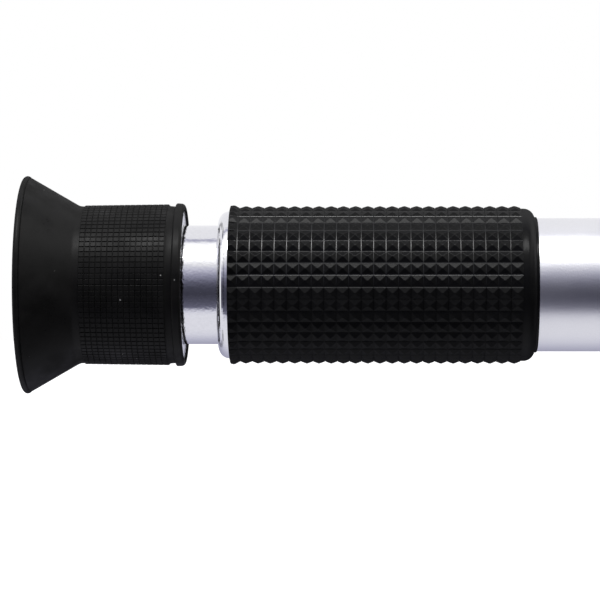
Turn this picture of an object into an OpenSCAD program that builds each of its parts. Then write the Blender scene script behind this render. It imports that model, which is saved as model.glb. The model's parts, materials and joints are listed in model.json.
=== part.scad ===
// Handheld refractometer for brewing and winemaking, modelled as its separate pieces.
// Lengths are in millimetres. The optical axis is X: the eyepiece is at -X and the prism at +X.
// The origin is on the optical axis, at the middle of the grip.

/* [Barrel] */
// Outer diameter of the satin barrel tube
tube_d = 24.4; // [23:0.1:27]
// Wall of the barrel tube
tube_wall = 1.2; // [0.9:0.1:1.6]
// Length of bare tube between the grip and the prism head
tube_bare_l = 18; // [15:0.25:30]
// Depth of the seat turned into the tube for the grip
grip_seat = 0.3; // [0.2:0.05:0.4]
// Outward step of the chrome collar above the tube
collar_step = 1.3; // [0.8:0.1:1.6]
// Length of the chrome collar
collar_l = 2.1; // [1.5:0.1:4]
// Rounding of the collar's rear corner
collar_round = 1.9; // [0.5:0.1:2]

/* [Grip] */
// Length of the rubber grip
grip_l = 56; // [50:0.5:80]
// Rubber between the tube and the grooves of the studs
grip_wall = 1.75; // [1.5:0.05:3]
// Height of a stud above its grooves
stud_h = 0.45; // [0.3:0.05:0.9]
// Number of studs along the grip
stud_columns = 24; // [12:1:28]
// Number of studs around the grip
stud_rows = 40; // [24:1:48]
// Length that the rear end face cuts off the first studs
stud_cut = 0.5; // [0:0.05:0.9]
// Turn of the stud pattern about the axis, in degrees
stud_turn = -1.7; // [-9:0.1:9]
// Length of the smooth band at the front end
band_l = 2.95; // [2.8:0.05:8]
// Rounding of the smooth band's front end
band_round = 2; // [1.6:0.1:2.3]
// Length of the thin lip in front of the smooth band
grip_lip_l = 0.45; // [0.3:0.05:0.6]

/* [Neck] */
// Wall of the neck tube
neck_wall = 1.2; // [1:0.1:1.6]
// Length of the neck tube inside the barrel
neck_inset = 16; // [8:0.5:24]
// Bare neck between the collar and the eyecup when focused at mid travel
neck_gap = 6.2; // [4:0.1:8]
// Thickness of the damping ring
damping_t = 0.7; // [0.5:0.05:0.9]

/* [Eyepiece] */
// Focus travel each way from the middle
focus_travel = 3; // [1:0.1:3.5]
// Wall of the eyepiece housing around the neck
housing_wall = 1.9; // [1.5:0.1:3]
// Thickness of the housing's rear wall
housing_end = 3; // [2:0.1:5]
// Wall of the lens barrel
lens_wall = 1; // [0.7:0.05:1.3]
// Thickness of a lens at its edge
lens_edge = 1.4; // [1:0.1:2]
// Rise of the curved face of a lens
lens_rise = 1.8; // [0.8:0.1:2.2]
// Length of the spacer between the two lenses
spacer_l = 5.6; // [4.6:0.1:6.2]

/* [Eyecup] */
// Diameter of the eyecup's flared rim
rim_d = 40; // [36:0.5:46]
// Length of the rubber eyecup
cup_l = 29.55; // [27:0.05:34]
// Length of the flare from the rim to the skirt
flare_l = 10.2; // [9.5:0.1:12]
// Depth of the cup in front of the eye lens
cup_depth = 8.6; // [6:0.1:9]
// Rubber of the flare at the rim
lip_t = 1.1; // [0.9:0.05:1.6]
// Rubber between the housing and the grooves of the knurl
skirt_wall = 1.5; // [1.2:0.05:2.5]
// Plain skirt between the flare and the knurl
knurl_start = 0.95; // [0.6:0.05:3]
// Height of the knurl at its rear end
knurl_h = 0.2; // [0.1:0.02:0.4]
// Rise of the knurl towards the bead
knurl_taper = 0.2; // [0:0.02:0.4]
// Number of knurl ridges along the ring
knurl_columns = 15; // [8:1:20]
// Width of the bead at the front end
bead_w = 1.7; // [1.4:0.1:3]
// Outward step of the bead above the skirt
bead_step = 0.55; // [0.3:0.05:1]
// Diameter of the eye opening in the cup's floor
eye_d = 15.4; // [12:0.2:16]

/* [Reticle] */
// Thickness of the glass scale disc
reticle_t = 1.5; // [1:0.1:2.5]
// Length of the ring that carries the scale disc
reticle_mount_l = 4; // [3:0.1:6]

/* [Prism head] */
// Length of the head's spigot inside the barrel
spigot_l = 12; // [11:0.5:14]
// Wall of the spigot
spigot_wall = 1.55; // [1.2:0.05:1.8]
// Distance from the barrel's end to the hinge pin
hinge_x = 26; // [25:0.25:32]
// Depth of the hinge pin below the top of the head
hinge_drop = 3.5; // [3:0.1:4.5]
// Slope of the measuring face, in degrees
slope = 22; // [18:0.5:25]
// Distance from the hinge pin to the front of the head
nose_l = 31; // [30:0.25:36]
// Rounding of the head's front edge
nose_round = 1.5; // [0.5:0.1:3]
// Distance from the hinge pin down the slope to the prism
prism_start = 6; // [5.6:0.1:6.4]
// Width of the prism
prism_w = 14; // [10:0.2:15]
// Length of the prism's measuring face
prism_l = 25; // [20:0.2:25.4]
// Height of the prism's rear face
prism_h = 12; // [9:0.1:12.4]
// Width of the seal around the prism
seal_w = 0.8; // [0.5:0.05:1]

/* [Daylight plate] */
// Width of the clear plate
plate_w = 19; // [17:0.2:21]
// Thickness of the clear plate
plate_t = 3; // [2:0.1:3.4]
// Length of the clear plate from the hinge pin
plate_l = 35; // [33.5:0.25:40]
// Corner rounding of the plate's front end
plate_round = 4; // [1:0.5:6]
// Width of the knuckle between the lugs
knuckle_w = 10; // [6:0.2:12]
// Width of a hinge lug
lug_w = 3; // [2:0.1:4]
// Diameter of the hinge pin
pin_d = 2; // [1.4:0.1:2.4]

/* [Calibration] */
// Distance from the barrel's end to the calibration screw
screw_x = 15.5; // [15:0.25:16]
// Diameter of the calibration screw's thread
screw_d = 2.5; // [2:0.1:3]
// Diameter of the calibration screw's head
screw_head_d = 4; // [3.6:0.1:4.4]
// Diameter of the boss around the screw
boss_d = 8.6; // [7.6:0.1:9.4]
// Height of the boss above the head
boss_step = 1; // [0.6:0.1:1.6]
// Diameter of the rubber cap over the screw
cap_d = 7.8; // [6.6:0.1:8.4]
// Height of the rubber cap
cap_h = 1.2; // [0.8:0.1:2]
// Gap between the temperature strip and the objective's cell
cell_gap = 0.7; // [0.5:0.1:2]
// Length of the temperature strip
strip_l = 20.4; // [19:0.2:21.4]
// Width of the temperature strip
strip_w = 6; // [4:0.1:6.2]
// Thickness of the temperature strip
strip_t = 0.6; // [0.4:0.05:0.7]
// Height of the carrier block under the strip
carrier_h = 2.2; // [1.8:0.1:2.6]

/* [Hidden] */
$fn = 96;
// Overshoot of a cut past the face it starts from
over = 1;
// Gap between pieces that seat on each other
seat = 0.05;
// Radial clearance of the running fits
run = 0.07;
// Clearance between pieces that move past each other
clear = 0.3;
// Small chamfer on turned edges
edge = 0.3;
// Steps along a rounded corner
steps = 10;
// Fineness of the curved faces of the lenses
lens_fn = 240;

// Inward step from the tube to the head
head_step = 0.2;
// Step from the tube up to the grip's front lip
grip_lip = 0.35;

tube_r = tube_d / 2;
tube_bore_r = tube_r - tube_wall;
collar_r = tube_r + collar_step;
neck_r = tube_bore_r - 2 * seat;
neck_bore_r = neck_r - neck_wall;
grip_r = tube_r + grip_wall;
tube_seat_r = tube_r - grip_seat;
grip_bore_r = tube_seat_r + seat;
x_grip = grip_l / 2;
x_joint = x_grip + tube_bare_l;
x_collar = -x_grip - collar_l;

// Eyepiece, from the front end of the eyecup back to its rim
housing_bore_r = neck_r + run;
housing_r = housing_bore_r + housing_wall;
flange_t = 0.8;
flange_step = 1;
flange_r = housing_r + flange_step;
skirt_r = housing_r + seat + skirt_wall;
bead_r = skirt_r + bead_step;
rim_r = rim_d / 2;
cup_floor_t = 1.2;
cup_corner = 1;
cup_fillet = 1.5;
bead_recess = 0.3;
knurl_gap = 1.25;
knurl_groove = 0.15;
knurl_flank = 0.15;
x_cup = x_collar - neck_gap;
x_rim = x_cup - cup_l;
x_floor = x_rim + cup_depth;
x_housing = x_floor + cup_floor_t + seat;
x_housing_front = x_cup - bead_recess;
x_flange = x_housing_front - flange_t;
x_shoulder = x_housing + housing_end;
x_neck = x_shoulder + focus_travel + clear;
x_skirt = x_rim + flare_l;
x_knurl = x_skirt + knurl_start;
knurl_l = x_cup - bead_w - knurl_gap - x_knurl;
lens_barrel_r = neck_bore_r - clear;
lens_bore_r = lens_barrel_r - lens_wall;
lens_r = lens_bore_r - seat;
lens_lip = 0.8;
spacer_wall = 0.9;
lens_ring_l = 1.5;
lens_ring_w = 1.2;
lens_ball_r = ball_radius(lens_r, lens_rise);
lens_bulge = bulge(lens_ball_r, lens_r, spacer_wall);
x_lens_barrel = x_housing + clear;
x_eye_lens = x_lens_barrel + lens_lip + seat;
x_spacer = x_eye_lens + lens_edge + lens_bulge + seat;
x_field_lens = x_spacer + spacer_l + seat + lens_bulge + lens_edge;
x_lens_ring = x_field_lens + seat;
x_lens_end = x_lens_ring + lens_ring_l + clear;

// Damping ring in its groove on the neck
damping_r = neck_r + run / 3 - damping_t / 2;
damping_w = damping_t + clear;
damping_inset = 4;
x_damping = x_neck + damping_inset;

// Scale disc and its rings inside the neck
reticle_rim = 0.5;
reticle_lip = 1.4;
reticle_r = neck_bore_r - reticle_rim;
reticle_view_r = reticle_r - reticle_lip;
reticle_ring_l = 1.25;
x_reticle_mount = x_lens_end + focus_travel + 2 * clear;
x_reticle = x_reticle_mount + reticle_mount_l - reticle_t - seat;
x_reticle_ring = x_reticle_mount + reticle_mount_l + seat;

// Prism head
head_r = tube_r - head_step;
spigot_r = tube_bore_r - seat;
light_r = spigot_r - spigot_wall;
x_head = x_joint + seat;
x_hinge = x_joint + hinge_x;
z_hinge = head_r - hinge_drop;
x_nose = x_hinge + nose_l;
knuckle_wall = 1.4;
knuckle_r = pin_d / 2 + knuckle_wall;
lug_step = 0.2;
lug_r = knuckle_r + lug_step;
lug_web = 1.8;
slot_w = knuckle_w + 2 * clear;
recess_gap = 1.1;
recess_under = 0.4;
recess_r = lug_r + recess_gap;
z_recess = z_hinge - knuckle_r - recess_under;
window_wall = 1.1;
window_r = z_recess - window_wall;
light_wall = 1.5;
x_light_end = x_hinge - recess_r - light_wall;
film = 0.3;
prism_z = -plate_t / 2 - film;
seat_z = prism_z - film;
prism_tip_h = 2.4;
seal_t = 2;
plate_gap = 0.8;

// Calibration screw, carrier and objective
x_screw = x_joint + screw_x;
z_boss = head_r + boss_step;
screw_floor = 0.85;
z_screw = light_r + screw_floor;
screw_gap = 0.1;
screw_r = screw_d / 2;
screw_hole_r = screw_r + screw_gap;
screw_head_r = screw_head_d / 2;
well_gap = 0.2;
well_r = screw_head_r + well_gap;
screw_head_h = 1.6;
slot_t = 0.6;
clip_t = 0.4;
clip_w = 0.85;
clip_r = screw_r + clip_w;
z_clip = sqrt(light_r * light_r - clip_r * clip_r) - clear - clip_t;
strip_gap = 1.2;
z_strip = light_r - strip_gap - strip_t;
z_carrier = z_strip - carrier_h;
strip_margin = 0.5;
carrier_w = strip_w + 2 * strip_margin;
guide_r = 0.8;
guide_wall = 0.5;
guide_depth = 1.8;
guide_x = well_r + guide_wall + guide_r;
z_guide = light_r + guide_depth;
carrier_margin = 1.3;
x_carrier_end = x_screw + guide_x + carrier_margin;
strip_lap = 5;
x_carrier = x_screw - guide_x - carrier_margin - seat - strip_lap;
x_strip = x_carrier + strip_lap - strip_l;
rivet_r = 0.6;
rivet_head_r = 0.9;
rivet_head_h = 0.45;
rivet_l = 1;
cell_l = 5;
cell_wall = 1.25;
cell_lip = 0.8;
cell_r = z_strip - cell_gap;
cell_bore_r = cell_r - cell_wall;
cell_pad_w = strip_w - 2 * strip_margin;
cell_inset = 0.4;
x_cell = x_strip + cell_inset;
objective_r = cell_bore_r - seat;
objective_edge = 1.6;
objective_rise = 0.9;
objective_ball_r = ball_radius(objective_r, objective_rise);
objective_bulge = bulge(objective_ball_r, objective_r, cell_lip);
x_objective = x_cell + cell_l - cell_lip - seat - objective_bulge - objective_edge;

// Points along an arc in degrees
function arc(center, r, from, to) =
    [
        for (i = [0:steps])
            let (a = from + (to - from) * i / steps)
                center + r * [cos(a), sin(a)]
    ];

// Radius of the ball that gives a lens of radius r its rise
function ball_radius(r, rise) = (r * r + rise * rise) / (2 * rise);

// How far the curved face of a lens stands above its edge at a distance in from the edge
function bulge(ball_r, r, in) = sqrt(ball_r * ball_r - (r - in) * (r - in)) - sqrt(ball_r * ball_r - r * r);

// A solid turned about the optical axis from [radius, place along X] points
module turned(points) {
    rotate([0, 90, 0])
        rotate_extrude()
            polygon(points);
}

// A plain cylinder on the optical axis
module along_x(from, to, r) {
    translate([from, 0, 0])
        rotate([0, 90, 0])
            cylinder(r = r, h = to - from);
}

// A plain ring on the optical axis
module ring(from, to, outer_r, bore_r) {
    difference() {
        along_x(from, to, outer_r);
        along_x(from - over, to + over, bore_r);
    }
}

// A vertical cylinder at a place along X
module upright(x, from, to, r) {
    translate([x, 0, from])
        cylinder(r = r, h = to - from);
}

// A cylinder across the part at the hinge
module across(w, r) {
    rotate([90, 0, 0])
        cylinder(r = r, h = w, center = true);
}

// A block centred across the part
module block(x, z, size) {
    translate([x, -size[1] / 2, z])
        cube(size);
}

// The frame of the closed plate: its origin is on the hinge pin, X runs down the slope
module on_slope() {
    translate([x_hinge, 0, z_hinge])
        rotate([0, slope, 0])
            children();
}

// An outline in the plate's own side view, made solid across the part
module side_prism(points, w) {
    rotate([90, 0, 0])
        linear_extrude(height = w, center = true)
            polygon(points);
}

// A lens with one flat face, bulging towards +X
module flat_lens() {
    intersection() {
        along_x(0, lens_edge + lens_rise + over, lens_r);
        translate([lens_edge + lens_rise - lens_ball_r, 0, 0])
            sphere(r = lens_ball_r, $fn = lens_fn);
    }
}

module main_tube() {
    color("gainsboro")
        turned([
            [tube_bore_r, -x_grip],
            [tube_seat_r, -x_grip],
            [tube_seat_r, x_grip + seat],
            [tube_r, x_grip + seat],
            [tube_r, x_joint - edge],
            [tube_r - edge, x_joint],
            [tube_bore_r, x_joint]
        ]);
}

module rear_collar() {
    corner = min(collar_round, collar_l - seat);
    bore_r = neck_r + seat;
    color("silver")
        turned(concat(
            [[bore_r, -x_grip - seat], [bore_r, x_collar]],
            arc([collar_r - corner, x_collar + corner], corner, -90, 0),
            [[collar_r, -x_grip - seat]]
        ));
}

module neck_tube() {
    x_front = -x_grip + neck_inset;
    groove_r = damping_r - damping_t / 2 - seat;
    color("silver")
        turned([
            [neck_bore_r, x_neck],
            [neck_r - edge, x_neck],
            [neck_r, x_neck + edge],
            [neck_r, x_damping - damping_w / 2],
            [groove_r, x_damping - damping_w / 2],
            [groove_r, x_damping + damping_w / 2],
            [neck_r, x_damping + damping_w / 2],
            [neck_r, x_front],
            [neck_bore_r, x_front]
        ]);
}

module damping_ring() {
    color("dimgray")
        translate([x_damping, 0, 0])
            rotate([0, 90, 0])
                rotate_extrude()
                    translate([damping_r, 0])
                        circle(r = damping_t / 2);
}

// The field of square studs: one closed surface, four sloping faces to a stud
module stud_field(x, pitch) {
    turn = 360 / stud_rows;
    tip_r = grip_r + stud_h;
    corners = [
        for (j = [0:stud_columns], i = [0:stud_rows - 1])
            [x + j * pitch, grip_r * sin(stud_turn + i * turn), grip_r * cos(stud_turn + i * turn)]
    ];
    tips = [
        for (j = [0:stud_columns - 1], i = [0:stud_rows - 1])
            let (a = stud_turn + (i + 0.5) * turn)
                [x + (j + 0.5) * pitch, tip_r * sin(a), tip_r * cos(a)]
    ];
    sides = [
        for (j = [0:stud_columns - 1], i = [0:stud_rows - 1])
            let (
                k = (i + 1) % stud_rows,
                a = j * stud_rows + i,
                b = j * stud_rows + k,
                c = (j + 1) * stud_rows + k,
                d = (j + 1) * stud_rows + i,
                tip = len(corners) + j * stud_rows + i
            )
                each [[a, b, tip], [b, c, tip], [c, d, tip], [d, a, tip]]
    ];
    centers = [[x, 0, 0], [x + stud_columns * pitch, 0, 0]];
    rear = len(corners) + len(tips);
    last = stud_columns * stud_rows;
    ends = [
        for (i = [0:stud_rows - 1])
            let (k = (i + 1) % stud_rows)
                each [[k, i, rear], [last + i, last + k, rear + 1]]
    ];
    polyhedron(concat(corners, tips, centers), concat(sides, ends));
}

module grip() {
    x_studs = -x_grip - stud_cut;
    x_band = x_grip - band_l;
    x_lip = x_grip - grip_lip_l;
    band_r = grip_r * cos(180 / stud_rows) - seat;
    lip_r = tube_r + grip_lip;
    arc_r = band_r - band_round;
    turn_end = acos(max(0, (lip_r - arc_r) / band_round));
    x_arc = x_lip - band_round * sin(turn_end);
    color("#1c1c1c")
        difference() {
            union() {
                stud_field(x_studs, (x_band - x_studs) / stud_columns);
                turned(concat(
                    [[grip_bore_r - over, x_band - over], [band_r, x_band - over]],
                    arc([arc_r, x_arc], band_round, 0, turn_end),
                    [[lip_r, x_grip], [grip_bore_r - over, x_grip]]
                ));
            }
            along_x(x_studs - over, -x_grip, grip_r + stud_h + over);
            along_x(-x_grip - over, x_grip + over, grip_bore_r);
        }
}

module reticle_mount() {
    x_end = x_reticle_mount + reticle_mount_l;
    mount_r = neck_bore_r - seat;
    color("#202020")
        difference() {
            ring(x_reticle_mount, x_end, mount_r, reticle_view_r);
            along_x(x_reticle - seat, x_end + over, reticle_r + seat);
        }
}

module reticle() {
    color("lightblue")
        along_x(x_reticle, x_reticle + reticle_t, reticle_r);
}

module reticle_ring() {
    color("#202020")
        ring(x_reticle_ring, x_reticle_ring + reticle_ring_l, neck_bore_r - seat, reticle_view_r);
}

// Side outline of the prism up to a given top, grown by a margin at its ends and under it
function prism_outline(top, margin) =
    let (
        x_rear = prism_start - margin,
        x_front = prism_start + prism_l + margin,
        plumb = [sin(slope), -cos(slope)],
        level = [cos(slope), sin(slope)],
        foot = [prism_start, prism_z] + prism_h * plumb,
        tip = [prism_start + prism_l, prism_z - prism_tip_h],
        base = (tip - foot) / norm(tip - foot),
        down = margin * [base[1], -base[0]],
        past_tip = base * margin / base[0],
        past_foot = base * margin * level[0] / (base * level)
    )
        [[x_rear, top], [x_front, top], tip + down + past_tip, foot + down - past_foot, [x_rear, prism_z]];

module prism() {
    color("lightcyan")
        on_slope()
            side_prism(prism_outline(prism_z, 0), prism_w);
}

module prism_seal() {
    hole = [prism_l + 2 * seat, prism_w + 2 * seat, seal_t + 2 * over];
    outside = [prism_l + 2 * seal_w - 2 * seat, prism_w + 2 * seal_w - 2 * seat, seal_t];
    color("#202020")
        on_slope()
            difference() {
                block(prism_start - seal_w + seat, seat_z - seal_t, outside);
                block(prism_start - seat, seat_z - seal_t - over, hole);
            }
}

// The head before its bores: a turned casting cut down to the slope, with lugs and a boss
module head_casting() {
    depth = 4 * head_r;
    web = lug_r + lug_web;
    difference() {
        turned(concat(
            [[0, x_joint - spigot_l], [spigot_r - edge, x_joint - spigot_l]],
            [[spigot_r, x_joint - spigot_l + edge], [spigot_r, x_head]],
            [[head_r - edge, x_head], [head_r, x_head + edge]],
            arc([head_r - nose_round, x_nose - nose_round], nose_round, 0, 90),
            [[0, x_nose]]
        ));
        block(x_hinge - recess_r, z_recess, [depth, depth, depth]);
        on_slope()
            block(0, seat_z, [depth, depth, depth]);
    }
    for (side = [-1, 1])
        translate([x_hinge, side * (slot_w + lug_w) / 2, z_hinge]) {
            across(lug_w, lug_r);
            block(-lug_r, z_recess - z_hinge - over, [web, lug_w, z_hinge - z_recess + over]);
        }
    upright(x_screw, light_r, z_boss, boss_d / 2);
}

module head() {
    pocket = [prism_l + 2 * seal_w, prism_w + 2 * seal_w, seal_t + over];
    color("gainsboro")
        difference() {
            head_casting();
            along_x(x_joint - spigot_l - over, x_light_end, light_r);
            along_x(x_light_end - over, x_hinge + prism_start + over, window_r);
            on_slope() {
                side_prism(prism_outline(over, seat), prism_w + 2 * seat);
                block(prism_start - seal_w, seat_z - seal_t - seat, pocket);
                across(2 * head_r, pin_d / 2 + seat / 2);
            }
            upright(x_screw, z_screw, z_boss + over, well_r);
            upright(x_screw, light_r - over, z_screw + over, screw_hole_r);
            for (side = [-1, 1])
                upright(x_screw + side * guide_x, light_r - over, z_guide, guide_r + seat / 2);
        }
}

module hinge_pin() {
    color("silver")
        on_slope()
            across(slot_w + 2 * lug_w, pin_d / 2);
}

module guide_pins() {
    color("silver")
        for (side = [-1, 1])
            upright(x_screw + side * guide_x, z_carrier - 2 * clear, z_guide - seat, guide_r);
}

module eyepiece_housing() {
    color("silver")
        turned([
            [lens_barrel_r + seat, x_housing],
            [housing_r - edge, x_housing],
            [housing_r, x_housing + edge],
            [housing_r, x_flange],
            [flange_r, x_flange],
            [flange_r, x_housing_front - edge],
            [flange_r - edge, x_housing_front],
            [housing_bore_r, x_housing_front],
            [housing_bore_r, x_shoulder],
            [lens_barrel_r + seat, x_shoulder]
        ]);
}

module lens_barrel() {
    color("#202020")
        turned([
            [lens_bore_r - lens_lip, x_lens_barrel],
            [lens_barrel_r, x_lens_barrel],
            [lens_barrel_r, x_lens_end],
            [lens_bore_r, x_lens_end],
            [lens_bore_r, x_lens_barrel + lens_lip],
            [lens_bore_r - lens_lip, x_lens_barrel + lens_lip]
        ]);
}

// Outer outline of the eyecup from the rim to the bead
function cup_outside() =
    let (
        lip = lip_t / 2,
        lean = atan((rim_r - skirt_r) / (flare_l - lip)),
        x_fillet = x_skirt + cup_fillet * tan(lean / 2),
        pitch = knurl_l / knurl_columns,
        ridge = [[knurl_groove, 0], [knurl_groove + knurl_flank, 1], [1 - knurl_flank, 1], [1, 0]],
        bead = bead_w / 2
    )
        concat(
            arc([rim_r - lip, x_rim + lip], lip, -120, 90 - lean),
            arc([skirt_r + cup_fillet, x_fillet], cup_fillet, 180 + lean, 180),
            [for (i = [0:knurl_columns - 1], p = ridge)
                let (up = knurl_h + knurl_taper * (i + p[0]) / knurl_columns)
                    [skirt_r + p[1] * up, x_knurl + (i + p[0]) * pitch]],
            [[skirt_r, x_knurl + knurl_l + seat]],
            arc([bead_r - bead, x_cup - bead], bead, -60, 90)
        );

module eyecup() {
    bore_r = housing_r + seat;
    lip = lip_t / 2;
    x_inside = x_floor + cup_floor_t;
    floor_r = bore_r - 2 * cup_corner;
    lean = atan((rim_r - lip_t - floor_r - cup_corner) / (cup_depth - cup_corner - lip));
    color("#262626")
        turned(concat(
            cup_outside(),
            [[flange_r + seat, x_cup], [flange_r + seat, x_flange - seat], [bore_r, x_flange - seat]],
            [[bore_r, x_inside], [eye_d / 2, x_inside], [eye_d / 2, x_floor]],
            arc([floor_r, x_floor - cup_corner], cup_corner, 90, lean),
            [[rim_r - lip_t, x_rim + lip]]
        ));
}

module eye_lens() {
    color("lightblue")
        translate([x_eye_lens, 0, 0])
            flat_lens();
}

module lens_spacer() {
    color("#202020")
        ring(x_spacer, x_spacer + spacer_l, lens_r, lens_r - spacer_wall);
}

module field_lens() {
    color("lightblue")
        translate([x_field_lens, 0, 0])
            mirror([1, 0, 0])
                flat_lens();
}

module lens_ring() {
    color("#202020")
        ring(x_lens_ring, x_lens_ring + lens_ring_l, lens_r, lens_r - lens_ring_w);
}

// Outline of the plate seen from above, with its tongue towards the pin
function plate_outline() =
    let (
        half = plate_w / 2,
        x_corner = plate_l - plate_round,
        y_corner = half - plate_round,
        x_back = lug_r + plate_gap,
        tongue = knuckle_w / 2
    )
        concat(
            [[0, -tongue], [x_back, -tongue], [x_back, -half]],
            arc([x_corner, -y_corner], plate_round, -90, 0),
            arc([x_corner, y_corner], plate_round, 0, 90),
            [[x_back, half], [x_back, tongue], [0, tongue]]
        );

module daylight_plate() {
    color("azure", 0.5)
        on_slope()
            difference() {
                union() {
                    translate([0, 0, -plate_t / 2])
                        linear_extrude(height = plate_t)
                            polygon(plate_outline());
                    across(knuckle_w, knuckle_r);
                }
                across(knuckle_w + 2 * over, pin_d / 2 + run);
                translate([plate_l, 0, -plate_t / 2])
                    rotate([0, 45, 0])
                        cube([plate_t / 2, plate_w + 2 * over, plate_t / 2], center = true);
            }
}

module calibration_screw() {
    z_top = z_screw + seat + screw_head_h;
    color("goldenrod")
        difference() {
            union() {
                upright(x_screw, z_screw + seat, z_top, screw_head_r);
                upright(x_screw, z_carrier - clear, z_screw + 2 * seat, screw_r);
            }
            translate([x_screw, 0, z_top])
                cube([2 * screw_head_d, slot_t, screw_head_h], center = true);
        }
}

module screw_clip() {
    color("silver")
        difference() {
            upright(x_screw, z_clip, z_clip + clip_t, clip_r);
            upright(x_screw, z_clip - over, z_clip + clip_t + over, screw_r + seat / 2);
            block(x_screw, z_clip - over, [screw_d, screw_r, clip_t + 2 * over]);
        }
}

module calibration_cap() {
    z_cap = z_boss + seat;
    plug_r = well_r - run;
    crown = cap_h / 2;
    z_plug = z_screw + screw_head_h + clear;
    color("#1c1c1c")
        translate([x_screw, 0, 0])
            rotate_extrude()
                polygon(concat(
                    [[0, z_plug], [plug_r, z_plug], [plug_r, z_cap], [cap_d / 2, z_cap]],
                    arc([cap_d / 2 - crown, z_cap + crown], crown, 0, 90),
                    [[0, z_cap + cap_h]]
                ));
}

// Places along X of the rivets through the strip
function rivets() =
    [for (x = [x_carrier + strip_lap / 2, x_cell + cell_l / 2], side = [-1, 1]) x + side * cell_l / 4];

module objective_carrier() {
    color("darkgoldenrod")
        difference() {
            block(x_carrier, z_carrier, [x_carrier_end - x_carrier, carrier_w, carrier_h]);
            upright(x_screw, z_carrier - over, z_strip + over, screw_r + run);
            for (side = [-1, 1])
                upright(x_screw + side * guide_x, z_carrier - over, z_strip + over, guide_r + run);
            for (x = rivets())
                upright(x, z_carrier - over, z_strip + over, rivet_r + seat / 2);
        }
}

module bimetal_strip() {
    color("peru")
        difference() {
            block(x_strip, z_strip, [strip_l - seat, strip_w, strip_t]);
            for (x = rivets())
                upright(x, z_strip - over, z_strip + strip_t + over, rivet_r + seat / 2);
        }
}

module strip_rivets() {
    z_top = z_strip + strip_t;
    color("silver")
        for (x = rivets()) {
            upright(x, z_strip - rivet_l, z_top + seat, rivet_r);
            upright(x, z_top, z_top + rivet_head_h, rivet_head_r);
        }
}

module objective_cell() {
    color("#202020")
        difference() {
            union() {
                along_x(x_cell, x_cell + cell_l, cell_r);
                block(x_cell, 0, [cell_l, cell_pad_w, z_strip]);
            }
            along_x(x_cell - over, x_cell + cell_l - cell_lip, cell_bore_r);
            along_x(x_cell - over, x_cell + cell_l + over, cell_bore_r - cell_lip);
            for (x = rivets())
                upright(x, cell_bore_r, z_strip + over, rivet_r + seat / 2);
        }
}

module objective_lens() {
    rise = objective_rise;
    ball_r = objective_ball_r;
    color("lightblue")
        translate([x_objective, 0, 0])
            intersection() {
                intersection() {
                    along_x(-rise - over, objective_edge + rise + over, objective_r);
                    translate([ball_r - rise, 0, 0])
                        sphere(r = ball_r, $fn = lens_fn);
                }
                translate([objective_edge + rise - ball_r, 0, 0])
                    sphere(r = ball_r, $fn = lens_fn);
            }
}

module objective_ring() {
    color("#202020")
        ring(x_cell + seat, x_objective - objective_bulge - seat, objective_r, objective_r - cell_lip);
}

main_tube();
rear_collar();
neck_tube();
damping_ring();
grip();
reticle_mount();
reticle();
reticle_ring();
head();
prism();
prism_seal();
hinge_pin();
guide_pins();
eyepiece_housing();
lens_barrel();
eyecup();
eye_lens();
lens_spacer();
field_lens();
lens_ring();
daylight_plate();
calibration_screw();
screw_clip();
calibration_cap();
objective_carrier();
bimetal_strip();
strip_rivets();
objective_cell();
objective_lens();
objective_ring();
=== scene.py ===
# %% [markdown]
# # A handheld refractometer
# A brewer puts a drop of wort on the sloping prism at one end, closes the clear plate over it and looks
# in at the eyecup on the other end, where a shadow line on a scale tells how much sugar there is.
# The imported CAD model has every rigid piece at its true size. In this lesson those pieces keep their
# shapes and get finishes, and the soft rubber pieces on the outside are modelled by hand.

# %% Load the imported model
import json
import math
import bpy
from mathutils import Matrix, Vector


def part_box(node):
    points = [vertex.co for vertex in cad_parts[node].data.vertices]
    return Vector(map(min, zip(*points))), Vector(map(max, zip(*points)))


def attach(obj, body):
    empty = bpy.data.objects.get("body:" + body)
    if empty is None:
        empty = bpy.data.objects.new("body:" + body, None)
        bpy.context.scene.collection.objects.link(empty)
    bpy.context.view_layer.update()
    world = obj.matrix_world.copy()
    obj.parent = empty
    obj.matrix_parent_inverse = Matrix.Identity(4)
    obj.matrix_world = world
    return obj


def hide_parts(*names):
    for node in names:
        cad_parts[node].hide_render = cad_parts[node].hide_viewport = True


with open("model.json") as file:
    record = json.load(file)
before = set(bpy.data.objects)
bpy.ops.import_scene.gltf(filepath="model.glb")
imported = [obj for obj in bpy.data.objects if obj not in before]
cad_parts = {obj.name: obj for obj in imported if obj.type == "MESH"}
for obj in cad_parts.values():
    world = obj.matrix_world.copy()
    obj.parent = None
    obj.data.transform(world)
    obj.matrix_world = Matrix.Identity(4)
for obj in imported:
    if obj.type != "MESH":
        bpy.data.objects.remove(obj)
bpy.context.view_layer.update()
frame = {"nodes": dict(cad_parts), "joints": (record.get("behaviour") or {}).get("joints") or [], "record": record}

MM = 0.001

# %% [markdown]
# ## The camera
# The instrument is seen exactly from its side, with the eyecup on the left and the front end outside
# the frame. A long lens from half a metre keeps the barrel's edges almost parallel. The camera comes
# first, because every later choice is judged through it.

# %% Place the camera
camera_place = Vector((-0.6, -520, 0)) * MM
camera_aim = Vector((-15.28, 0, -2.79)) * MM
bpy.ops.object.camera_add(location=camera_place)
camera = bpy.context.object
camera.rotation_euler = (camera_aim - camera_place).to_track_quat("-Z", "Y").to_euler()
camera.data.lens = 170.04
camera.data.sensor_width = 36
bpy.context.scene.camera = camera
print("Camera", round((camera_aim - camera_place).length / MM), "mm from the barrel")

# %% [markdown]
# ## Small tools for working by hand
# An operator acts on whatever is selected, and loading the model leaves every node selected. So each
# new piece starts by deselecting everything, and each step inside edit mode picks its faces or edges
# by a test on where they are. These helpers only save typing: the modelling itself is ordinary
# extruding, resizing, bevelling and spinning.

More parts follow.
